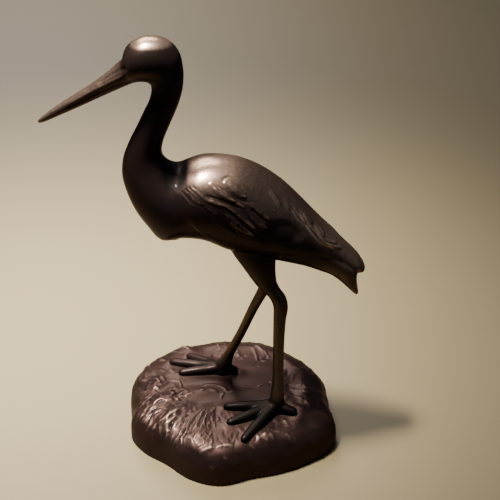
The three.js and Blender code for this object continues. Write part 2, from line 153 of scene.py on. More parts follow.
# Lines cut between the feathers, seen from the side: x, z along each, half width, rise.
CUTS = (
    (((-6.4, 111.8), (-2.3, 109.6), (0.7, 107.9), (3.6, 106.5), (6.6, 105.6)), 0.42, -0.34),
    (((-9.3, 108.9), (-5.5, 107.8), (-1.4, 106.5), (1.7, 105.0), (3.9, 103.9)), 0.45, -0.42),
    (((6.0, 104.3), (8.1, 102.3), (10.9, 99.8), (13.0, 98.2)), 0.42, -0.38),
    (((-2.2, 104.5), (0.2, 102.9), (2.6, 100.6), (6.1, 97.2), (8.9, 94.6)), 0.42, -0.34),
    (((-5.0, 101.9), (-2.3, 99.7), (0.4, 97.2), (2.8, 94.3)), 0.42, -0.12),
    (((-3.8, 112.2), (-0.9, 112.7), (1.7, 111.3), (4.3, 108.9)), 0.36, -0.22),
    (((4.0, 111.7), (6.3, 111.5), (8.1, 110.4)), 0.32, -0.10),
    (((-10.8, 106.6), (-8.0, 104.2), (-4.7, 101.6)), 0.45, -0.12),
    (((-15.6, 109.9), (-13.1, 108.6), (-10.6, 106.4)), 0.26, -0.10),
    (((-16.6, 109.3), (-15.0, 108.1), (-12.9, 106.3)), 0.26, -0.09),
    (((-14.5, 110.4), (-12.2, 109.2), (-10.1, 108.0)), 0.26, -0.10),
    (((-13.1, 110.8), (-11.2, 110.0), (-9.3, 108.9)), 0.26, -0.08),
    (((-17.2, 108.1), (-15.8, 106.9), (-14.3, 105.9)), 0.26, -0.07),
)
# The upper edge of the hollow behind the carved feathers, then its width below and above and its rise.
UNDERCUT = ((7.0, 93.6), (10.5, 95.6), (13.5, 97.0), (17.5, 96.6), (21.0, 93.8), (24.0, 89.5))
UNDERCUT_SHAPE = (5.0, 1.5, -0.8)
# A raised rim along the front of the wing's lower edge: half width, rise.
WING_RIM = (0.35, 0.12)
# Ridges of the long feathers over the tail: x, z along each, half width, rise.
RIDGES = (
    (((11.8, 108.6), (13.1, 106.8), (14.7, 104.5), (16.3, 102.2)), 0.32, 0.34),
    (((17.4, 104.3), (18.2, 102.2), (19.0, 100.3)), 0.30, 0.26),
    (((16.7, 107.4), (19.4, 105.1), (21.7, 102.8)), 0.36, 0.28),
    (((20.0, 101.5), (21.1, 99.3), (22.5, 97.2), (25.5, 93.9)), 0.32, 0.48),
    (
        ((22.0, 100.5), (23.6, 97.4), (25.6, 94.1), (27.5, 91.3), (29.7, 88.5), (31.8, 86.4))
        + ((35.2, 84.0), (38.5, 82.0)),
        0.38,
        0.80,
    ),
    (((27.0, 93.1), (28.6, 90.4), (31.4, 87.5), (33.9, 85.7), (36.5, 84.0)), 0.34, 0.64),
    (((24.1, 98.3), (25.3, 96.0), (27.0, 93.1)), 0.32, 0.46),
    (((28.0, 93.5), (29.7, 90.9), (31.5, 87.8)), 0.34, 0.56),
)
# Grooves and ridges of the bill's side: x, z along each, half width, rise.
BILL_LINES = (
    (((-31.6, 152.2), (-35.0, 150.4), (-38.6, 148.0), (-44.0, 144.4)), 0.80, -0.75),
    (((-32.6, 149.4), (-35.8, 147.6), (-40.5, 144.7), (-46.4, 141.2), (-55.0, 136.0)), 0.55, 0.34),
    (((-33.2, 147.0), (-38.5, 143.9), (-44.2, 140.8), (-54.0, 135.2)), 0.38, -0.22),
)

# Soft places of the bird seen from the side: x and z of the middle, reach along x and z, lean.
TAIL_ROOT = (32, 77, 12, 4.5, 0.35)
THIGH_ROOT = (6, 83, 9, 4, 0)
BREAST = (-22, 87, 7, 3.5, 0)
FACE = (-33, 147, 4, 4, 0)
# Painted shade: the underside of the head and the throat, darkened as if out of the light.
THROAT_SHADE = (-26, 142, 6, 5, 0)
# Painted shade: the nook between the neck and the shoulder, darkened where the head's shadow falls.
NOOK_SHADE = (-19, 114, 4, 5, 0)
# Rubbed bare metal on the shoulder: wear from handling, made stronger as a painted highlight.
SHOULDER_WEAR_AND_HIGHLIGHT = (-7, 115, 8, 4, 0)

# The mound's outline: angle in degrees from +X towards +Y, radius.
MOUND_OUTLINE = (
    (0, 37.0), (20, 38.0), (45, 37.2), (65, 38.0), (90, 37.8), (115, 39.0), (140, 41.8),
    (160, 42.6), (176, 40.2), (185, 39.0), (194, 40.2), (207, 38.4), (225, 35.0), (245, 36.2),
    (262, 36.2), (280, 33.0), (300, 34.0), (318, 36.6), (340, 40.8),
)
# From the underside's edge over the shoulder to the middle: inset, height.
MOUND_PROFILE = (
    (0.0, 0.0), (0.0, 1.5), (0.05, 4.0), (0.35, 6.8), (1.1, 9.4), (2.6, 11.7), (5.3, 13.6),
    (10.2, 15.0), (19.0, 15.8), (29.0, 16.1), (40.0, 16.2),
)
MOUND_MEAN_RADIUS = 40.0
# Clods and tufts: x, y, half length, half width, heading in degrees, rise.
TUFTS = (
    (-27.0, -5.0, 6.0, 3.0, 20, 1.2), (-30.0, 4.0, 5.0, 2.6, 70, 1.0),
    (-22.0, -13.0, 6.5, 3.0, 40, 1.3), (-12.0, -18.0, 7.0, 3.4, 75, 1.1),
    (-12.0, -2.0, 6.0, 2.6, 5, 0.4), (-20.0, 27.0, 6.0, 2.8, 150, 1.1),
    (-4.0, 28.0, 7.0, 2.8, 175, 1.0), (10.0, 27.0, 6.5, 2.8, 165, 1.0),
    (22.0, 17.0, 6.5, 3.0, 130, 1.1), (27.0, 2.0, 6.0, 3.0, 95, 1.1),
    (25.0, -12.0, 6.5, 3.0, 60, 1.0), (12.0, -25.5, 5.0, 2.6, 20, 0.9),
)
# The boldest strokes of the grass, on the mound's skin rolled flat: middle, heading and bend in
# degrees, length, half width, rise. A dip has a negative rise.
BLADES = (
    (-30.5, 8.0, -35, 80, 6.0, 0.50, 0.45), (-29.3, 9.4, -15, 65, 4.5, 0.45, -0.35),
    (-26.4, 3.8, 25, 35, 5.2, 0.45, 0.45), (-21.8, 5.2, -15, -50, 4.8, 0.45, 0.45),
    (-29.6, 1.4, -5, -90, 2.4, 0.50, 0.50), (-23.5, 0.6, 15, -30, 4.7, 0.45, 0.50),
    (-24.0, -1.5, -50, 75, 3.6, 0.45, 0.45), (-28.3, -6.6, 30, -90, 5.2, 0.45, 0.55),
    (-24.3, -6.3, 5, 5, 4.0, 0.60, 0.60), (-27.6, -7.6, 15, -95, 6.2, 0.50, -0.40),
    (-19.9, -4.7, 35, -70, 4.4, 0.45, 0.55), (-16.8, -3.1, 30, -30, 3.4, 0.50, 0.60),
    (-21.2, -2.4, 50, -80, 7.0, 0.45, -0.40), (-12.5, -0.6, 40, 120, 2.8, 0.50, 0.45),
    (-8.6, 2.3, 0, -50, 5.2, 0.40, 0.45), (-4.4, 0.7, -45, -60, 6.0, 0.40, 0.45),
    (-7.8, -1.0, -30, -15, 4.5, 0.45, 0.40), (-1.0, -1.7, 10, -30, 4.0, 0.45, 0.30),
    (-4.7, -4.4, 70, -60, 5.1, 0.45, 0.35), (-21.5, -9.8, 25, -35, 4.6, 0.45, 0.45),
    (-25.5, -15.5, 35, 10, 9.2, 0.60, 0.50), (-24.9, -18.0, 35, 15, 8.7, 0.60, 0.50),
    (-22.4, -18.8, 50, -10, 10.5, 0.60, 0.45), (-13.3, -20.8, 75, -5, 12.4, 0.55, -0.45),
    (-10.8, -21.1, 95, 10, 8.8, 0.50, -0.35), (-17.9, -20.8, 65, -25, 8.3, 0.50, -0.35),
    (-18.8, -28.5, 0, -75, 4.6, 1.00, 0.70), (-10.5, -34.0, 20, -35, 7.4, 0.90, 0.60),
    (-2.9, -33.4, -15, -65, 7.2, 0.90, 0.60), (-13.5, -31.7, 35, 90, 2.4, 0.50, 0.35),
    (-2.9, -38.5, -40, 5, 2.8, 0.60, 0.30), (-8.7, -41.0, -35, -10, 3.0, 0.60, 0.30),
    (2.7, -0.9, 15, -20, 9.6, 0.40, 0.35), (12.2, 2.6, 10, -90, 5.0, 0.45, 0.35),
    (10.5, -9.1, 25, 95, 7.0, 0.45, 0.35), (11.1, -13.8, 30, 55, 6.3, 0.45, 0.35),
    (-6.9, 29.2, -75, 5, 6.1, 0.45, 0.40), (-4.5, 31.3, -60, 10, 5.0, 0.45, 0.40),
    (1.4, 23.2, -60, 20, 3.5, 0.50, 0.35), (10.6, 27.2, -50, -5, 6.2, 0.45, 0.40),
    (8.7, 23.3, -75, -25, 9.2, 0.45, 0.40), (13.6, 23.8, -65, 0, 6.3, 0.45, 0.40),
    (12.7, 19.4, 0, 95, 4.0, 0.50, 0.35), (36.3, 1.9, 25, 50, 10.0, 0.90, 0.30),
    (28.6, -1.7, 5, -5, 6.8, 0.90, 0.30), (31.3, -12.2, 10, -30, 7.8, 0.90, 0.30),
    (27.7, -8.6, 90, 75, 5.6, 0.80, 0.30),
)
# Grass drawn at random: range of angle round the mound, range of distance along its skin, count, x and y
# of the place that the blades grow away from, scatter in degrees, range of length, half width, rise.
SWARDS = (
    (184, 236, 31.0, 39.0, 70, -10, 10, 12, 3.0, 6.0, 0.42, 0.28),
    (196, 256, 19.0, 34.0, 150, -5, 5, 14, 2.5, 6.0, 0.40, 0.18),
    (236, 284, 14.0, 35.0, 60, -7, 12, 16, 2.5, 6.0, 0.45, 0.18),
    (150, 202, 18.0, 37.0, 44, -16, -24, 30, 3.0, 6.0, 0.50, 0.28),
    (20, 180, 32.0, 38.5, 80, 0, 0, 30, 2.0, 4.0, 0.55, 0.36),
    (60, 150, 16.0, 33.0, 26, 10, 0, 40, 3.0, 6.0, 0.60, 0.20),
    (-20, 60, 18.0, 34.0, 24, 20, 40, 40, 3.5, 7.0, 0.70, 0.20),
    (-60, 15, 22.0, 39.0, 26, 0, 10, 22, 6.0, 11.0, 1.20, 0.24),
    (270, 320, 26.0, 37.0, 30, 5, 0, 35, 2.5, 4.5, 0.60, 0.24),
)
# Factors on every blade's width and rise, the rise that no overlap goes beyond, and the share of the
# random blades that stand up.
BLADE_SOFTNESS = 1.1
BLADE_SHARE = 0.55
RISE_LIMIT = 0.6
RAISED_CHANCE = 0.62
# The unevenness of the mound's top and of its edge: pitch, rise.
ROLLING = (11.0, 0.25)
KNOBS = (6.5, 0.30)
# Beside a toe: reach, share of the grass pressed flat, rise.
TOE_BED = (2.4, 0.7, 0.45)

# Triangles kept of each skin, and rounds of smoothing that tell a hollow from a height.
TRIANGLES = 190000
HOLLOW_ROUNDS = 14
# Smoothing that keeps thin forms full: the pull inwards and the push back.
IRON_PULL = 0.60
IRON_PUSH = -0.63

PATINA = "Rubbed patina"

# The camera: focal length and picture in pixels, sensor, place, and tilt from straight down.
FOCAL_PIXELS = 1210
PICTURE_PIXELS = 500
SENSOR = 36.0
CAMERA_PLACE = (0.0062, -0.3579, 0.3118)
CAMERA_TILT = 57.0
# Lamps: name, place, aim, length, width, share of the key's power, spread in degrees.
LAMPS = (
    ("key", (-0.288, 0.004, 0.945), (-0.080, 0.062, 0.0), 0.17, 0.15, 1.0, 25),
    ("panel", (-0.20, 0.58, 0.70), (0.00, 0.02, 0.06), 0.50, 0.36, 0.24, 45),
    ("back", (-0.25, 0.90, 0.62), (-0.10, 0.46, 0.0), 0.40, 0.20, 0.62, 58),
)
LAMP_COLOUR = (1.0, 0.89, 0.81)
SKY_COLOUR = (0.80, 0.85, 1.0, 1)
SKY_STRENGTH = 0.27
FLOOR_REACH = 6.0


def along(rows, shares):
    """Rows of a table at shares of its length, by a smooth cubic that passes through every row."""
    table = np.asarray(rows, float)
    last = len(table) - 1
    table = np.vstack([2 * table[0] - table[1], table, 2 * table[-1] - table[-2]])
    place = np.clip(np.asarray(shares, float), 0, 1) * last
    i = np.minimum(place.astype(int), last - 1)
    f = (place - i)[:, None]
    a, b, c, d = table[i], table[i + 1], table[i + 2], table[i + 3]
    slope = (c - a) * f
    bend = (2 * a - 5 * b + 4 * c - d) * f**2
    twist = (3 * b - a - 3 * c + d) * f**3
    return 0.5 * (2 * b + slope + bend + twist)


def step(low, high, values):
    """A smooth rise from 0 at low to 1 at high."""
    share = np.clip((values - low) / (high - low), 0, 1)
    return share * share * (3 - 2 * share)


def bell(values, reach):
    """1 at 0, fading both ways: e to the power of minus the square of the share of the reach."""
    return np.exp(-((values / reach) ** 2))


def unit(vectors):
    """Vectors divided by their lengths."""
    return vectors / np.maximum(np.linalg.norm(vectors, axis=-1, keepdims=True), 1e-12)


def shell(rings):
    """A closed skin through rings of points: quads between neighbours, and a fan to each end's middle."""
    count, around = rings.shape[:2]
    points = np.vstack([rings.reshape(-1, 3), rings[0].mean(0), rings[-1].mean(0)])
    i = np.arange(count - 1)[:, None] * around
    j = np.arange(around)[None]
    k = (j + 1) % around
    quads = np.stack([i + j, i + around + j, i + around + k, i + k], -1).reshape(-1, 4)
    j, k = j[0], k[0]
    first = np.stack([j, k, np.full(around, count * around)], -1)
    top = (count - 1) * around
    last = np.stack([top + k, top + j, np.full(around, count * around + 1)], -1)
    faces = [*quads.tolist(), *first.tolist(), *last.tolist()]
    return points, faces


def chords(table, count):
    """Sections along a table: the middle of each chord, half its reach, and the half width."""
    rows = along(table, np.linspace(0, 1, count))
    upper, lower = rows[:, 0:2], rows[:, 2:4]
    return (upper + lower) / 2, (upper - lower) / 2, rows[:, 4]


def chord_skin(table, count=260, around=120, roundness=1.0):
    """Ovals, each round a chord in the plane of symmetry: its reach by the cosine, its width by the sine.

    Both raised to a power below one square the ovals off.
    """
    middle, reach, half_width = chords(table, count)
    angle = np.arange(around) / around * TURN
    turned = np.stack([np.cos(angle), np.sin(angle)])
    tall, wide = np.sign(turned) * np.abs(turned) ** roundness
    x = middle[:, :1] + reach[:, :1] * tall
    y = half_width[:, None] * wide
    z = middle[:, 1:] + reach[:, 1:] * tall
    return shell(np.stack([x, y, z], -1))


def tube_skin(rows, count=90, around=40, width_axis=(0, 1, 0)):
    """Ovals square to a smooth path: its centre, plus width by the cosine and height by the sine."""
    table = along(rows, np.linspace(0, 1, count))
    centre = table[:, :3]
    heading = unit(np.gradient(centre, axis=0))
    axis = np.asarray(width_axis, float)
    wide = unit(axis - (heading @ axis)[:, None] * heading)
    tall = np.cross(heading, wide)
    angle = np.arange(around) / around * TURN
    across = wide[:, None] * (np.cos(angle)[None, :, None] * table[:, 3, None, None])
    up = tall[:, None] * (np.sin(angle)[None, :, None] * table[:, 4, None, None])
    return shell(centre[:, None] + across + up)


def toe_skin(foot, tip):
    """A tube from the foot to the toe's tip, thicker at each knuckle."""
    foot, tip = np.asarray(foot), np.asarray(tip)
    table = np.asarray(TOE)
    centre = foot + (tip - foot) * table[:, :1]
    centre[:, 2] += table[:, 1]
    rows = np.column_stack([centre, table[:, 2], table[:, 2] * 0.9])
    across = np.cross((0, 0, 1), tip - foot)
    return tube_skin(rows, 60, 28, across / np.linalg.norm(across))


def outline_radius(degrees):
    """The mound's radius at each angle: a cubic between the outline's knots, smooth all the way round."""
    table = np.asarray(MOUND_OUTLINE, float)
    knots = np.r_[table[-2:, 0] - 360, table[:, 0], table[:2, 0] + 360]
    radii = np.r_[table[-2:, 1], table[:, 1], table[:2, 1]]
    slopes = np.zeros(len(knots))
    slopes[1:-1] = (radii[2:] - radii[:-2]) / (knots[2:] - knots[:-2])
    angle = np.mod(degrees, 360.0)
    i = np.searchsorted(knots, angle, side="right") - 1
    span = knots[i + 1] - knots[i]
    f = (angle - knots[i]) / span
    start = (2 * f**3 - 3 * f**2 + 1) * radii[i] + (f**3 - 2 * f**2 + f) * slopes[i] * span
    end = (3 * f**2 - 2 * f**3) * radii[i + 1] + (f**3 - f**2) * slopes[i + 1] * span
    return start + end


def pole_free_disc(count):
    """A square grid bent to a disc: each square ring becomes a circle, its corners spread round it."""
    side = np.linspace(-1, 1, count)
    a, b = np.meshgrid(side, side, indexing="ij")
    flat = np.abs(a) >= np.abs(b)
    reach = np.where(flat, a, b)
    safe = np.where(reach == 0, 1, reach)
    angle = np.where(flat, TURN / 8 * b / safe, TURN / 4 - TURN / 8 * a / safe)
    return reach * np.cos(angle), reach * np.sin(angle)


def tuft_rise(x, y, height):
    """Broad clods: round hills, longer one way, which fade out down the mound's side."""
    rise = np.zeros_like(x)
    for centre_x, centre_y, long, wide, heading, top in TUFTS:
        turn = math.radians(heading)
        run = ((x - centre_x) * math.cos(turn) + (y - centre_y) * math.sin(turn)) / long
        side = ((y - centre_y) * math.cos(turn) - (x - centre_x) * math.sin(turn)) / wide
        rise += top * np.exp(-(run**2) - side**2)
    return np.minimum(1, height / 13) ** 2 * rise


def draw_blade(flat_x, flat_y, rise, blade):
    """One blade of grass on the rolled out skin: a bell across a bowed line, pointed at both ends."""
    middle_x, middle_y, heading, bend, length, half_width, height = blade
    half_width = half_width * BLADE_SOFTNESS
    height = height * BLADE_SHARE
    reach = length / 2 + 3 * half_width
    near = (np.abs(flat_x - middle_x) < reach) & (np.abs(flat_y - middle_y) < reach)
    turn = math.radians(heading)
    dx, dy = flat_x[near] - middle_x, flat_y[near] - middle_y
    run = (dx * math.cos(turn) + dy * math.sin(turn)) / (length / 2)
    side = dy * math.cos(turn) - dx * math.sin(turn)
    bow = -length / 2 * math.tan(math.radians(bend) / 4)
    side = side - bow * (0.5 - run**2)
    taper = np.clip(1 - run**2, 0, 1) ** 0.7
    rise[near] += height * taper * bell(side, half_width)


def grass_blades():
    """The bold blades, then each sward's own, drawn at random from a fixed seed."""
    blades = list(BLADES)
    draw = np.random.default_rng(11)
    for first, last, near, far, count, pole_x, pole_y, scatter, short, long, half_width, rise in SWARDS:
        for _ in range(count):
            angle = math.radians(draw.uniform(first, last))
            distance = draw.uniform(near, far)
            x, y = distance * math.cos(angle), distance * math.sin(angle)
            heading = math.degrees(math.atan2(y - pole_y, x - pole_x)) + draw.normal(0, scatter)
            bend = draw.normal(15, 25)
            length = draw.uniform(short, long)
            sign = 1 if draw.uniform() < RAISED_CHANCE else -1
            width = half_width * draw.uniform(0.7, 1.3)
            blades.append((x, y, heading, bend, length, width, sign * rise * draw.uniform(0.7, 1.4)))
    return blades


def mound_skin(count, strength):
    """The mound's outline carried over its profile on a pole-free disc, with grass raised on it."""
    disc_x, disc_y = pole_free_disc(count)
    profile = along(MOUND_PROFILE, np.linspace(0, 1, 600))
    steps = np.linalg.norm(np.diff(profile, axis=0), axis=1)
    away = np.r_[np.cumsum(steps[::-1])[::-1], 0]
    distance = np.hypot(disc_x, disc_y) * away[0]
    angle = np.arctan2(disc_y, disc_x)
    inset = np.interp(distance, away[::-1], profile[::-1, 0])
    height = np.interp(distance, away[::-1], profile[::-1, 1])
    radius = outline_radius(np.degrees(angle)) * (1 - inset / MOUND_MEAN_RADIUS)
    x = radius * np.cos(angle)
    y = radius * np.sin(angle)
    surface = np.stack([x, y, height + tuft_rise(x, y, height)], -1)
    outward = unit(np.cross(np.gradient(surface, axis=0), np.gradient(surface, axis=1)))
    flat_x = distance * np.cos(angle)
    flat_y = distance * np.sin(angle)
    grass = np.zeros_like(x)
    for blade in grass_blades():
        draw_blade(flat_x, flat_y, grass, blade)
    grass = RISE_LIMIT * np.tanh(grass / RISE_LIMIT)
    rolling = waves(x, y, height, 3, ROLLING[0])
    knobs = waves(x, y, height, 8, KNOBS[0]) * step(15.9, 14.0, height)
    rise = strength * grass + ROLLING[1] * rolling + KNOBS[1] * knobs
    reach, flattened, rim = TOE_BED
    for foot, tips in ((LEFT_FOOT, LEFT_TOES), (RIGHT_FOOT, RIGHT_TOES)):
        for tip in tips:
            gap, _, _ = line_distance(x, y, (foot[:2], tip[:2]))
            bed = bell(gap, reach)
            rise = rise * (1 - flattened * bed) + rim * bed
    rise = rise * step(3.0, 9.0, height) - 0.12 * step(12.5, 11.0, height)
    return surface + outward * rise[..., None], rise


def mound_shell(surface):
    """Quads over the grid, and a fan underneath from its rim to the middle of the flat underside."""
    count = surface.shape[0]
    index = np.arange(count * count).reshape(count, count)
    quads = np.stack([index[:-1, :-1], index[1:, :-1], index[1:, 1:], index[:-1, 1:]], -1).reshape(-1, 4)
    rim = np.concatenate([index[0, :-1], index[:-1, -1], index[-1, :0:-1], index[:0:-1, 0]])
    centre = np.full(len(rim), count * count)
    fan = np.stack([rim, np.roll(rim, -1), centre, centre], -1)
    points = np.vstack([surface.reshape(-1, 3), [[0, 0, 0]]])
    points[rim, 2] = 0
    return points, np.vstack([quads, fan])


def fetch(items, key, size=1, kind=np.int32):
    """One property of all points, faces or corners of a mesh."""
    values = np.empty(len(items) * size, kind)
    items.foreach_get(key, values)
    return values


def read_mesh(mesh):
    """A mesh's points in millimetres and its faces as quads, with a triangle's last corner repeated."""
    points = fetch(mesh.vertices, "co", 3, np.float32)
    totals = fetch(mesh.polygons, "loop_total")
    starts = fetch(mesh.polygons, "loop_start")
    corners = fetch(mesh.loops, "vertex_index")
    last = np.minimum(3, totals - 1)
    quads = np.stack([corners[starts], corners[starts + 1], corners[starts + 2], corners[starts + last]], -1)
    return points.reshape(-1, 3).astype(float) / MM, quads


def add_object(name, data):
    """A new object in the scene, which shows the data."""
    thing = bpy.data.objects.new(name, data)
    bpy.context.collection.objects.link(thing)
    return thing


def evaluated_mesh(thing):
    """A new mesh: the object's own with its modifiers applied."""
    graph = bpy.context.evaluated_depsgraph_get()
    return bpy.data.meshes.new_from_object(thing.evaluated_get(graph))


def voxel_union(shells, voxel):
    """One closed skin round shells that overlap: where the distance to them is zero, on a fine grid."""
    mesh = bpy.data.meshes.new("union")
    points = np.vstack([part[0] for part in shells])
    faces = []
    offset = 0
    for part_points, part_faces in shells:
        faces += [[corner + offset for corner in face] for face in part_faces]
        offset += len(part_points)
    mesh.from_pydata((points * MM).tolist(), [], faces)
    thing = add_object("union", mesh)
    remesh = thing.modifiers.new("Remesh", "REMESH")
    remesh.mode = "VOXEL"
    remesh.voxel_size = voxel * MM
    remesh.adaptivity = 0.0
    merged = evaluated_mesh(thing)
    result = read_mesh(merged)
    bpy.data.objects.remove(thing)
    bpy.data.meshes.remove(mesh)
    bpy.data.meshes.remove(merged)
    return result


def edges_of(quads):
    """Both ends of each side of each face."""
    a = quads.ravel()
    b = np.roll(quads, -1, 1).ravel()
    keep = a != b
    return a[keep], b[keep]


def neighbour_mean(values, edges):
    """For each point, the mean of a value over the points that share a face's side with it."""
    a, b = edges
    size = len(values)
    count = np.bincount(a, minlength=size) + np.bincount(b, minlength=size)
    columns = values.reshape(size, -1)
    total = [
        np.bincount(a, columns[b, k], minlength=size) + np.bincount(b, columns[a, k], minlength=size)
        for k in range(columns.shape[1])
    ]
    return (np.stack(total, -1) / np.maximum(count, 1)[:, None]).reshape(values.shape)


def relax(points, edges, rounds, share=0.5, weight=None):
    """Points moved towards their neighbours' mean, a share each round."""
    pull = share if weight is None else (share * weight)[:, None]
    for _ in range(rounds):
        points = points + pull * (neighbour_mean(points, edges) - points)
    return points


def iron(points, edges, rounds):
    """Points pulled to their neighbours' mean and pushed back by turns, which keeps thin forms full."""
    for _ in range(rounds):
        points = relax(points, edges, 1, IRON_PULL)
        points = relax(points, edges, 1, IRON_PUSH)
    return points


def normals_of(points, quads):
    """Outward directions at points: the sum of the crossed diagonals of the faces round each."""
    a, b, c, d = (points[quads[:, corner]] for corner in range(4))
    triangle = quads[:, 3] == quads[:, 2]
    crossed = np.cross(c - a, d - b)
    crossed[triangle] = np.cross((b - a)[triangle], (c - a)[triangle])
    total = np.zeros_like(points)
    for corner in range(4):
        use = ~triangle if corner == 3 else slice(None)
        for k in range(3):
            total[:, k] += np.bincount(quads[use, corner], crossed[use, k], minlength=len(points))
    return unit(total)


def chord_lift(x, z, count=300):
    """For points seen from the side, the height along the trunk's chord there, -1 below to 1 above."""
    middle, reach, _ = chords(TRUNK, count)
    size = np.linalg.norm(reach, axis=1)
    across = reach / size[:, None]
    lift = np.empty(len(x))
    batch = 20000
    for start in range(0, len(x), batch):
        part = slice(start, start + batch)
        dx = x[part, None] - middle[:, 0]
        dz = z[part, None] - middle[:, 1]
        miss = np.abs(dx * across[:, 1] - dz * across[:, 0])
        height = (dx * across[:, 0] + dz * across[:, 1]) / size
        miss += 20 * np.maximum(0, np.abs(height) - 1.15)
        best = np.argmin(miss, 1)
        lift[part] = height[np.arange(len(best)), best]
    return lift


def line_distance(x, z, line):
    """Distance to a run of straight pieces, the nearest share of it, and 1 right of it or -1 left."""
    line = np.asarray(line, float)
    lengths = np.linalg.norm(np.diff(line, axis=0), axis=1)
    begins = np.r_[0, np.cumsum(lengths)]
    nearest = np.full_like(x, 1e9)
    share = np.zeros_like(x)
    side = np.ones_like(x)
    for k, size in enumerate(lengths):
        ux, uz = (line[k + 1] - line[k]) / size
        dx, dz = x - line[k, 0], z - line[k, 1]
        run = np.clip(dx * ux + dz * uz, 0, size)
        gap = np.hypot(dx - run * ux, dz - run * uz)
        closer = gap < nearest
        nearest = np.where(closer, gap, nearest)
        share = np.where(closer, (begins[k] + run) / begins[-1], share)
        side = np.where(closer, np.where(dx * uz - dz * ux > 0, 1.0, -1.0), side)
    return nearest, share, side


def near_path(x, z, path, reach):
    """The points near a smooth path: their numbers, distance to its right and share of its length."""
    line = along(path, np.linspace(0, 1, 6 * len(path)))
    low = line.min(0) - reach
    high = line.max(0) + reach
    pick = np.flatnonzero((x > low[0]) & (x < high[0]) & (z > low[1]) & (z < high[1]))
    gap, share, side = line_distance(x[pick], z[pick], line)
    return pick, gap * side, share


def inside(x, z, outline):
    """True within a closed outline, by counting the sides that a ray to the right crosses."""
    outline = np.asarray(outline, float)
    result = np.zeros(len(x), bool)
    for (ax, az), (bx, bz) in zip(outline, np.roll(outline, -1, 0)):
        if az == bz:
            continue
        crosses = (az > z) != (bz > z)
        result ^= crosses & (x < (bx - ax) * (z - az) / (bz - az) + ax)
    return result


def waves(x, y, z, seed, pitch, count=5):
    """A gentle unevenness between about -1 and 1: the mean of sines in random directions."""
    draw = np.random.default_rng(seed)
    total = np.zeros_like(x)
    for _ in range(count):
        heading = unit(draw.normal(size=3)) * (TURN / pitch) * draw.uniform(0.7, 1.4)
        total += np.sin(x * heading[0] + y * heading[1] + z * heading[2] + draw.uniform(0, TURN))
    return total / count


def spot(x, z, place):
    """A soft place seen from the side: 1 in its middle, fading as a bell along x and z."""
    middle_x, middle_z, reach_x, reach_z, lean = place
    run = (x - middle_x) / reach_x
    climb = (z - middle_z + lean * (x - middle_x)) / reach_z
    return np.exp(-(run**2) - climb**2)


def lap_feather(x, z, height, feather):
    """A leaf with a round back: its crest lies nearer its lower edge, and it sinks towards its root."""
    root, middle, tip, width, rise = feather
    pick, across, share = near_path(x, z, (root, middle, tip), width)
    half = width / 2 * np.sin(math.pi * np.clip(share, 1e-4, 1 - 1e-4) ** 0.85) ** 0.6
    side = np.clip(across / np.maximum(half, 1e-3), -1, 1)
    side = side - 0.3 * (1 - side**2)
    length = math.dist(root, tip)
    course = share * length * TURN
    long_lumps = 0.09 * np.sin(course / 3.3 + side * 2.5 + 3 * root[0])
    short_lumps = 0.07 * np.sin(course / 1.9 - side * 3 + root[1])
    swell = 0.35 + 0.65 * step(0.0, 0.6, share)
    drawn = rise * (1 - side**2) * (1 + long_lumps + short_lumps) * swell
    height[pick] = np.maximum(height[pick], drawn)


def draw_line(x, z, height, path, below, above, rise):
    """A ridge or cut along a path: a bell across it, each side with its width, fading at both ends."""
    pick, across, share = near_path(x, z, path, 3 * max(below, above))
    wide = np.where(across > 0, below, above)
    fade = step(0.0, 0.18, share) * step(1.0, 0.82, share)
    drawn = rise * fade * bell(across, wide)
    if rise > 0:
        height[pick] = np.maximum(height[pick], drawn)
    else:
        height[pick] = np.minimum(height[pick], drawn)


def draw_lines(x, z, lines):
    """The heights of a table's ridges, and apart from them those of its cuts."""
    up, down = np.zeros((2, len(x)))
    for path, half, rise in lines:
        draw_line(x, z, up if rise > 0 else down, path, half, half, rise)
    return up, down


def bird_relief(points, outward, lift):
    """Height to add along the outward direction: wing plates, feathers, ridges, and the bill's lines."""
    x, y, z = points.T
    outline = [*WING_EDGE, (WING_EDGE[-1][0], WING_TOP[1]), WING_TOP]
    gap, _, _ = line_distance(x, z, WING_EDGE)
    signed = np.where(inside(x, z, outline), gap, -gap)
    on_trunk = (z > 68) & (x > -24) & (np.abs(lift) < 1.25)
    melt = np.maximum(step(12, 26, x), bell(z - 104, 5) * step(-9, -14, x))
    wing = step(-0.25 - 2.5 * melt, 0.40 + 3.0 * melt, signed) * on_trunk
    throat = step(108.5, 112.5, z) * step(-14, -21, x)
    thick = WING_THICKNESS * (0.35 + 0.65 * step(-0.7, 0.3, lift)) * (0.45 + 0.55 * step(-20, -10, x))
    plate = thick * wing * (1 - throat) * step(47.5, 43.0, x)
    near_top = np.where(y < 0, step(0.98, 0.80, lift), step(0.85, 0.60, lift))
    flank = step(1.2, 4.0, np.abs(y)) * step(-0.25, 0.40, signed) * on_trunk * near_top
    up = np.zeros(len(x))
    for feather in FEATHERS:
        lap_feather(x, z, up, feather)
    ridges, down = draw_lines(x, z, (*RIDGES, (WING_EDGE[4:11], *WING_RIM), *CUTS))
    draw_line(x, z, down, UNDERCUT, *UNDERCUT_SHAPE)
    up = np.maximum(up, ridges) * (1 + 0.25 * waves(x, y, z, 11, 4.0))
    bill_up, bill_down = draw_lines(x, z, BILL_LINES)
    bill = step(0.25, 0.75, np.abs(outward[:, 1])) * step(-32.4, -34.0, x)
    rump = step(18, 28, x) * step(46, 38, x) * step(0.2, 0.7, lift) * on_trunk
    valley = -0.7 * bell(y, 2) * rump
    return plate + flank * (up + down) + valley + bill * (bill_up + bill_down)


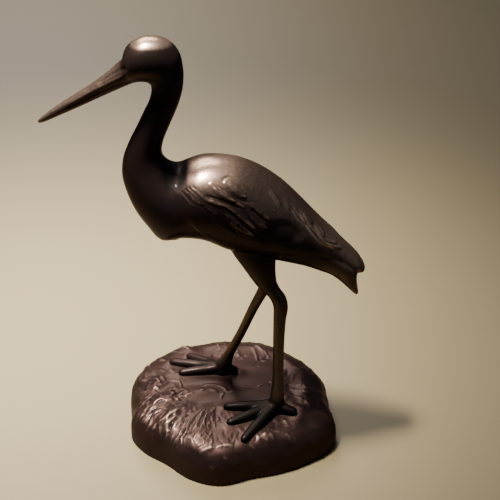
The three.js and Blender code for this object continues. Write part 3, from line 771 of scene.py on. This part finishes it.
def write_piece(name, points, quads, stand, rub, material, node):
    """The finished skin as an object: points, faces, and wear with any painted shade and sheen in its mesh,
    thinned where too fine.
    """
    mesh = bpy.data.meshes.new(name)
    triangle = quads[:, 3] == quads[:, 2]
    faces = [*quads[~triangle].tolist(), *quads[triangle, :3].tolist()]
    mesh.from_pydata((points * MM).tolist(), [], faces)
    for key, value in (("stand", stand), ("rub", rub)):
        attribute = mesh.attributes.new(key, "FLOAT", "POINT")
        attribute.data.foreach_set("value", value.astype(np.float32))
    piece = add_object(name, mesh)
    triangles = 2 * len(quads)
    if triangles > TRIANGLES:
        thin = piece.modifiers.new("Thin", "DECIMATE")
        thin.ratio = TRIANGLES / triangles
        thinned = evaluated_mesh(piece)
        piece.modifiers.clear()
        piece.data = thinned
        bpy.data.meshes.remove(mesh)
        thinned.name = name
    piece.data.polygons.foreach_set("use_smooth", np.ones(len(piece.data.polygons), bool))
    piece.data.materials.append(material)
    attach(piece, "root")
    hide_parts(node)


def hollows(points, quads, edges):
    """How far each point stands above its surroundings, along its outward direction, in millimetres."""
    smooth = relax(points, edges, HOLLOW_ROUNDS, 0.7)
    return ((points - smooth) * normals_of(smooth, quads)).sum(1)


def node(tree, kind, place, **inputs):
    """A shader node at a place, with some of its unlinked inputs set by name."""
    made = tree.nodes.new(kind)
    made.location = place
    for key, value in inputs.items():
        made.inputs[key.replace("_", " ")].default_value = value
    return made


def remap(tree, place, source, low, high, to_low=0.0, to_high=1.0):
    """A value between low and high brought to a new range and held within it."""
    made = node(tree, "ShaderNodeMapRange", place, From_Min=low, From_Max=high, To_Min=to_low, To_Max=to_high)
    tree.links.new(source, made.inputs["Value"])
    return made.outputs["Result"]


def blend(tree, place, share, first, second):
    """A colour between two others, by a share."""
    made = node(tree, "ShaderNodeMix", place)
    made.data_type = "RGBA"
    for key, source in (("Factor", share), ("A", first), ("B", second)):
        tree.links.new(source, made.inputs[key])
    return made.outputs["Result"]


def reckon(tree, place, operation, *terms):
    """A sum or product whose terms are sockets or plain numbers."""
    made = node(tree, "ShaderNodeMath", place)
    made.operation = operation
    for socket, term in zip(made.inputs, terms):
        if isinstance(term, float):
            socket.default_value = term
        else:
            tree.links.new(term, socket)
    return made.outputs["Value"]


def add_sockets(tree, side, sockets):
    """Inputs or outputs of a node group: a colour for four numbers, else a number."""
    for name, default in sockets.items():
        kind = "NodeSocketColor" if isinstance(default, tuple) else "NodeSocketFloat"
        socket = tree.interface.new_socket(name=name, in_out=side, socket_type=kind)
        socket.default_value = default


def patina_group():
    """The patina: dark in hollows and in painted shade, rubbed to bare metal on heights and where painted
    sheen is asked for, mottled in between.
    """
    tree = bpy.data.node_groups.new(PATINA, "ShaderNodeTree")
    link = tree.links.new
    sockets = {
        "Height": 0.0,
        "Rub": 0.0,
        "Patina": (0.030, 0.0175, 0.015, 1.0),
        "Warm patina": (0.023, 0.0140, 0.0118, 1.0),
        "Bare metal and sheen": (0.36, 0.25, 0.19, 1.0),
        "Hollow and shade": (0.004, 0.0033, 0.003, 1.0),
        "Mottle scale": 90.0,
        "Rub strength": 1.0,
        "Gloss": 0.29,
    }
    add_sockets(tree, "INPUT", sockets)
    results = {"Color": (0.0, 0.0, 0.0, 1.0), "Roughness": 0.0, "Metallic": 0.0, "Grain": 0.0}
    add_sockets(tree, "OUTPUT", results)
    given = node(tree, "NodeGroupInput", (-1200, 0)).outputs
    place = node(tree, "ShaderNodeTexCoord", (-1200, -500)).outputs["Object"]

    mottle = node(tree, "ShaderNodeTexNoise", (-900, 200), Detail=5.0, Roughness=0.6, Distortion=0.4)
    link(place, mottle.inputs["Vector"])
    link(given["Mottle scale"], mottle.inputs["Scale"])
    grain = node(tree, "ShaderNodeTexNoise", (-900, -250), Scale=900.0, Detail=4.0, Roughness=0.65)
    link(place, grain.inputs["Vector"])
    fine = grain.outputs["Fac"]

    mottled = remap(tree, (-700, 200), mottle.outputs["Fac"], 0.35, 0.68)
    body = blend(tree, (-450, 250), mottled, given["Patina"], given["Warm patina"])
    # Low heights, which on the bird include the painted shade, take the hollow colour.
    deep = remap(tree, (-700, -50), given["Height"], -0.02, -0.16)
    sunk = blend(tree, (-220, 200), deep, body, given["Hollow and shade"])

    high = remap(tree, (-700, -300), given["Height"], 0.05, 0.55)
    broken = remap(tree, (-500, -480), fine, 0.3, 0.62, 0.45, 1.0)
    # The Rub input holds wear and, on the bird, painted sheen and highlights.
    touched = reckon(tree, (-500, -300), "ADD", high, given["Rub"])
    rubbed = reckon(tree, (-300, -300), "MULTIPLY", touched, broken)
    bare = reckon(tree, (-120, -300), "MULTIPLY", rubbed, given["Rub strength"])
    bare.node.use_clamp = True
    color = blend(tree, (60, 150), bare, sunk, given["Bare metal and sheen"])

    duller = reckon(tree, (-120, -80), "MULTIPLY_ADD", deep, 0.22, given["Gloss"])
    uneven = reckon(tree, (60, -80), "MULTIPLY_ADD", fine, 0.10, duller)
    polished = reckon(tree, (220, -160), "MULTIPLY_ADD", bare, -0.12, uneven)
    metallic = remap(tree, (60, -300), bare, 0.0, 1.0, 0.8, 0.95)

    result = node(tree, "NodeGroupOutput", (400, 0)).inputs
    for key, source in (("Color", color), ("Roughness", polished), ("Metallic", metallic), ("Grain", fine)):
        link(source, result[key])
    return tree


def bronze(name, coat, look):
    """One casting's material: the patina, with a fine grain, under a thin coat of wax."""
    material = bpy.data.materials.new(name)
    material.use_nodes = True
    tree = material.node_tree
    tree.nodes.clear()
    link = tree.links.new
    out = node(tree, "ShaderNodeOutputMaterial", (600, 0))
    wax = {"Coat_Weight": coat, "Coat_Roughness": 0.13, "Coat_IOR": 1.45}
    tint = {"Specular_IOR_Level": 0.35, "Specular_Tint": (0.40, 0.33, 0.30, 1.0)}
    shader = node(tree, "ShaderNodeBsdfPrincipled", (300, 0), **tint, **wax)
    patina = node(tree, "ShaderNodeGroup", (0, 0))
    patina.node_tree = bpy.data.node_groups.get(PATINA) or patina_group()
    for key, value in look.items():
        patina.inputs[key].default_value = value
    # The heights, less any painted shade, darken the patina; the rub, with any painted sheen, lays bare
    # metal.
    for key, socket, level in (("stand", "Height", 100), ("rub", "Rub", -100)):
        attribute = node(tree, "ShaderNodeAttribute", (-250, level))
        attribute.attribute_name = key
        link(attribute.outputs["Fac"], patina.inputs[socket])
    bump = node(tree, "ShaderNodeBump", (120, -250), Strength=0.25, Distance=0.00006)
    for key, socket in (("Color", "Base Color"), ("Roughness", "Roughness"), ("Metallic", "Metallic")):
        link(patina.outputs[key], shader.inputs[socket])
    link(patina.outputs["Grain"], bump.inputs["Height"])
    link(bump.outputs["Normal"], shader.inputs["Normal"])
    link(shader.outputs["BSDF"], out.inputs["Surface"])
    return material


def bird_skin(voxel):
    """Trunk, tail, bill, legs and toes as one closed skin, smoothed most where they meet."""
    shells = [chord_skin(TRUNK), chord_skin(TAIL, 160, 100, TAIL_ROUNDNESS)]
    shells += [tube_skin(rows, 120) for rows in (BILL, BREAST_TUFT, LEFT_LEG, RIGHT_LEG)]
    shells += [toe_skin(LEFT_FOOT, tip) for tip in LEFT_TOES]
    shells += [toe_skin(RIGHT_FOOT, tip) for tip in RIGHT_TOES]
    points, quads = voxel_union(shells, voxel)
    edges = edges_of(quads)
    points = iron(points, edges, 10)
    x, _, z = points.T
    ankles = bell(z - 19, 4)
    soft = spot(x, z, TAIL_ROOT) + 0.8 * spot(x, z, THIGH_ROOT) + 0.5 * spot(x, z, BREAST)
    soft = np.clip(soft + spot(x, z, FACE) + 0.5 * ankles, 0, 1)
    return relax(points, edges, 30, 0.5, soft), quads, edges


def bird_wear_and_painted_light(points, outward):
    """Painted shade, how much darker than its own hollows the bird is made in the nook, under the throat and
    on the feet; and how far it is rubbed to bare metal, with painted sheen and highlights.
    """
    x, y, z = points.T
    # Painted shade in the nook between the neck and the shoulder, where the head's shadow falls.
    nook_shade = spot(x, z, NOOK_SHADE)
    # Painted shadow on the feet, deepest on the near foot (negative y), where the body's shadow falls.
    foot = step(24, 19, z)
    # Painted shade in the nook, under the throat and on the feet, taken off the heights later.
    shade = 0.35 * nook_shade + 0.5 * spot(x, z, THROAT_SHADE) + foot * (0.14 + 0.34 * step(2, -4, y))
    crown = step(157.1, 158.6, z)
    bill = step(-34, -38, x) * step(0.2, 1.0, outward[:, 2])
    ridge, _ = draw_lines(x, z, RIDGES)
    # The crests of the tail's ridges are rubbed to bare metal: this is wear, and it also paints highlight
    # lines along them.
    ridge_wear_and_highlight = 1.5 * ridge**2 * step(1.2, 4.0, np.abs(y))
    # Painted sheen: some bare metal on the legs, the top of the back, the rear of the tail and the head, so
    # they look as bright as the lamps' sheen and the floor's reflection would make them.
    legs = (0.07 * step(82, 72, z) + 0.07 * step(62, 50, z)) * (1 - foot)
    back = step(106, 116, z + 0.8 * np.maximum(x, 0)) * step(-12, -4, x)
    painted_sheen = 0.13 * step(26, 36, x) + 0.12 * back + legs + 0.03 * step(136, 142, z)
    # The crown and the bill are rubbed by handling. The shoulder's rub is wear and also a painted highlight.
    # Then come the ridge highlights and the painted sheen.
    rubbed = crown + 0.35 * bill + 0.9 * spot(x, z, SHOULDER_WEAR_AND_HIGHLIGHT) + ridge_wear_and_highlight + painted_sheen
    # The nook's rub is taken away and pushed below zero, so the nook stays dull and dark: painted shade.
    return shade, rubbed * (1 - nook_shade) - 0.4 * nook_shade


class StorkFinish(bpy.types.PropertyGroup):
    """Sizes and colours of the bird's skin."""

    voxel: bpy.props.FloatProperty(
        name="Skin spacing",
        description="Spacing of the bird's skin before it is thinned, in millimetres",
        default=0.28, min=0.15, max=1.0,
    )
    relief: bpy.props.FloatProperty(
        name="Feather relief",
        description="How strongly the feathers stand out, as a share of their drawn height",
        default=1.0, min=0.0, max=2.0,
    )
    patina: bpy.props.FloatVectorProperty(
        name="Patina",
        description="Dark brown of the bird's patina",
        subtype="COLOR", size=4, default=(0.0175, 0.0122, 0.0112, 1.0),
    )
    # This colour also paints the sheen and highlights on the bird's shoulder, ridges, back, tail, legs and
    # head.
    metal: bpy.props.FloatVectorProperty(
        name="Bare metal and sheen",
        description="Golden bronze where hands have rubbed the patina away",
        subtype="COLOR", size=4, default=(0.42, 0.30, 0.22, 1.0),
    )


class MoundFinish(bpy.types.PropertyGroup):
    """Sizes and colours of the mound's skin."""

    count: bpy.props.IntProperty(
        name="Rows",
        description="Points along each side of the grid that is bent over the mound",
        default=306, min=40, max=310,
    )
    relief: bpy.props.FloatProperty(
        name="Grass relief",
        description="How strongly the grass stands out, as a share of its drawn height",
        default=1.0, min=0.0, max=2.0,
    )
    patina: bpy.props.FloatVectorProperty(
        name="Patina",
        description="Dark brown of the mound's patina",
        subtype="COLOR", size=4, default=(0.0185, 0.0100, 0.0091, 1.0),
    )


class StudioLook(bpy.types.PropertyGroup):
    """The stage, camera and lights."""

    floor: bpy.props.FloatVectorProperty(
        name="Floor",
        description="Colour of the pale floor",
        subtype="COLOR", size=4, default=(0.106, 0.087, 0.036, 1.0),
    )
    key_power: bpy.props.FloatProperty(
        name="Key light",
        description="Power of the softbox overhead, in watts",
        default=2.2, min=0.0,
    )


class BIRD_OT_casting(bpy.types.Operator):
    """Lay the finished skin of the bird over its solid"""

    bl_idname = "bronze_stork.bird"
    bl_label = "Bird casting"

    def execute(self, context):
        finish = context.scene.stork_finish
        points, quads, edges = bird_skin(finish.voxel)
        outward = normals_of(points, quads)
        lift = chord_lift(points[:, 0], points[:, 2])
        height = bird_relief(points, outward, lift)
        points = points + outward * (height * finish.relief)[:, None]
        points = iron(points, edges, 2)
        shade, rub = bird_wear_and_painted_light(points, outward)
        # The painted shade is taken off the heights, so the patina darkens it like a hollow.
        stand = hollows(points, quads, edges) - shade
        look = bronze("Bird bronze", 0.02, {"Patina": finish.patina, "Bare metal and sheen": finish.metal})
        write_piece("stork_casting", points, quads, stand, rub, look, "stork")
        return {"FINISHED"}


class MOUND_OT_casting(bpy.types.Operator):
    """Lay the finished skin of the mound over its solid"""

    bl_idname = "bronze_stork.mound"
    bl_label = "Mound casting"

    def execute(self, context):
        finish = context.scene.mound_finish
        surface, rise = mound_skin(finish.count, finish.relief)
        points, quads = mound_shell(surface)
        stand = hollows(points, quads, edges_of(quads)) * step(2.0, 6.0, points[:, 2])
        rub = np.r_[np.clip(rise.ravel(), 0, 1) * 0.10, 0]
        look = bronze("Ground bronze", 0.05, {"Patina": finish.patina, "Gloss": 0.41, "Rub strength": 0.75})
        write_piece("mound_casting", points, quads, stand, rub, look, "mound")
        return {"FINISHED"}


class STUDIO_OT_stage(bpy.types.Operator):
    """Set up the floor, the camera at the photograph's angle and the soft light"""

    bl_idname = "bronze_stork.stage"
    bl_label = "Studio"

    def execute(self, context):
        scene = context.scene
        studio = scene.studio_look
        mesh = bpy.data.meshes.new("floor")
        corners = [(FLOOR_REACH * x, FLOOR_REACH * y, 0) for x, y in ((-1, -1), (1, -1), (1, 1), (-1, 1))]
        mesh.from_pydata(corners, [], [(0, 1, 2, 3)])
        floor = add_object("floor", mesh)
        material = bpy.data.materials.new("Floor")
        material.use_nodes = True
        shader = material.node_tree.nodes["Principled BSDF"]
        shader.inputs["Base Color"].default_value = studio.floor
        shader.inputs["Roughness"].default_value = 0.55
        mesh.materials.append(material)

        lens = bpy.data.cameras.new("camera")
        lens.sensor_width = SENSOR
        lens.lens = FOCAL_PIXELS / PICTURE_PIXELS * SENSOR
        lens.clip_start = 0.01
        camera = add_object("camera", lens)
        camera.location = CAMERA_PLACE
        camera.rotation_euler = (math.radians(CAMERA_TILT), 0, 0)
        scene.camera = camera

        for name, place, aim, long, wide, share, spread in LAMPS:
            lamp = bpy.data.lights.new(name, "AREA")
            lamp.shape = "RECTANGLE"
            lamp.size = long
            lamp.size_y = wide
            lamp.energy = studio.key_power * share
            lamp.spread = math.radians(spread)
            lamp.color = LAMP_COLOUR
            light = add_object(name, lamp)
            light.location = place
            down = unit(np.array(aim) - np.array(place))
            ahead = unit(np.array([1.0, 0.0, 0.0]) - down[0] * down)
            turned = np.column_stack([ahead, np.cross(-down, ahead), -down])
            light.rotation_euler = mathutils.Matrix(turned.tolist()).to_euler()

        world = bpy.data.worlds.new("studio")
        world.use_nodes = True
        sky = world.node_tree.nodes["Background"]
        sky.inputs["Color"].default_value = SKY_COLOUR
        sky.inputs["Strength"].default_value = SKY_STRENGTH
        scene.world = world
        return {"FINISHED"}


class STORK_PT_panel(bpy.types.Panel):
    """Sidebar panel that lists the pieces"""

    bl_idname = "STORK_PT_panel"
    bl_label = "Bronze Stork"
    bl_space_type = "VIEW_3D"
    bl_region_type = "UI"
    bl_category = "Bronze Stork"

    def draw(self, context):
        layout = self.layout
        for settings, names in (
            (context.scene.stork_finish, ("voxel", "relief", "patina", "metal")),
            (context.scene.mound_finish, ("count", "relief", "patina")),
            (context.scene.studio_look, ("floor", "key_power")),
        ):
            for name in names:
                layout.prop(settings, name)
        for operator in (BIRD_OT_casting, MOUND_OT_casting, STUDIO_OT_stage):
            layout.operator(operator.bl_idname)


CLASSES = (
    StorkFinish, MoundFinish, StudioLook, BIRD_OT_casting, MOUND_OT_casting,
    STUDIO_OT_stage, STORK_PT_panel,
)


def register():
    """Add the classes and the settings they keep in the scene."""
    for item in CLASSES:
        bpy.utils.register_class(item)
    bpy.types.Scene.stork_finish = bpy.props.PointerProperty(type=StorkFinish)
    bpy.types.Scene.mound_finish = bpy.props.PointerProperty(type=MoundFinish)
    bpy.types.Scene.studio_look = bpy.props.PointerProperty(type=StudioLook)


def unregister():
    """Take the settings and classes away again."""
    del bpy.types.Scene.studio_look
    del bpy.types.Scene.mound_finish
    del bpy.types.Scene.stork_finish
    for item in reversed(CLASSES):
        bpy.utils.unregister_class(item)


def main():
    """Add the classes, then build everything in order: the stage, the mound, then the bird."""
    register()
    bpy.ops.bronze_stork.stage()
    bpy.ops.bronze_stork.mound()
    bpy.ops.bronze_stork.bird()


if __name__ == "__main__":
    main()
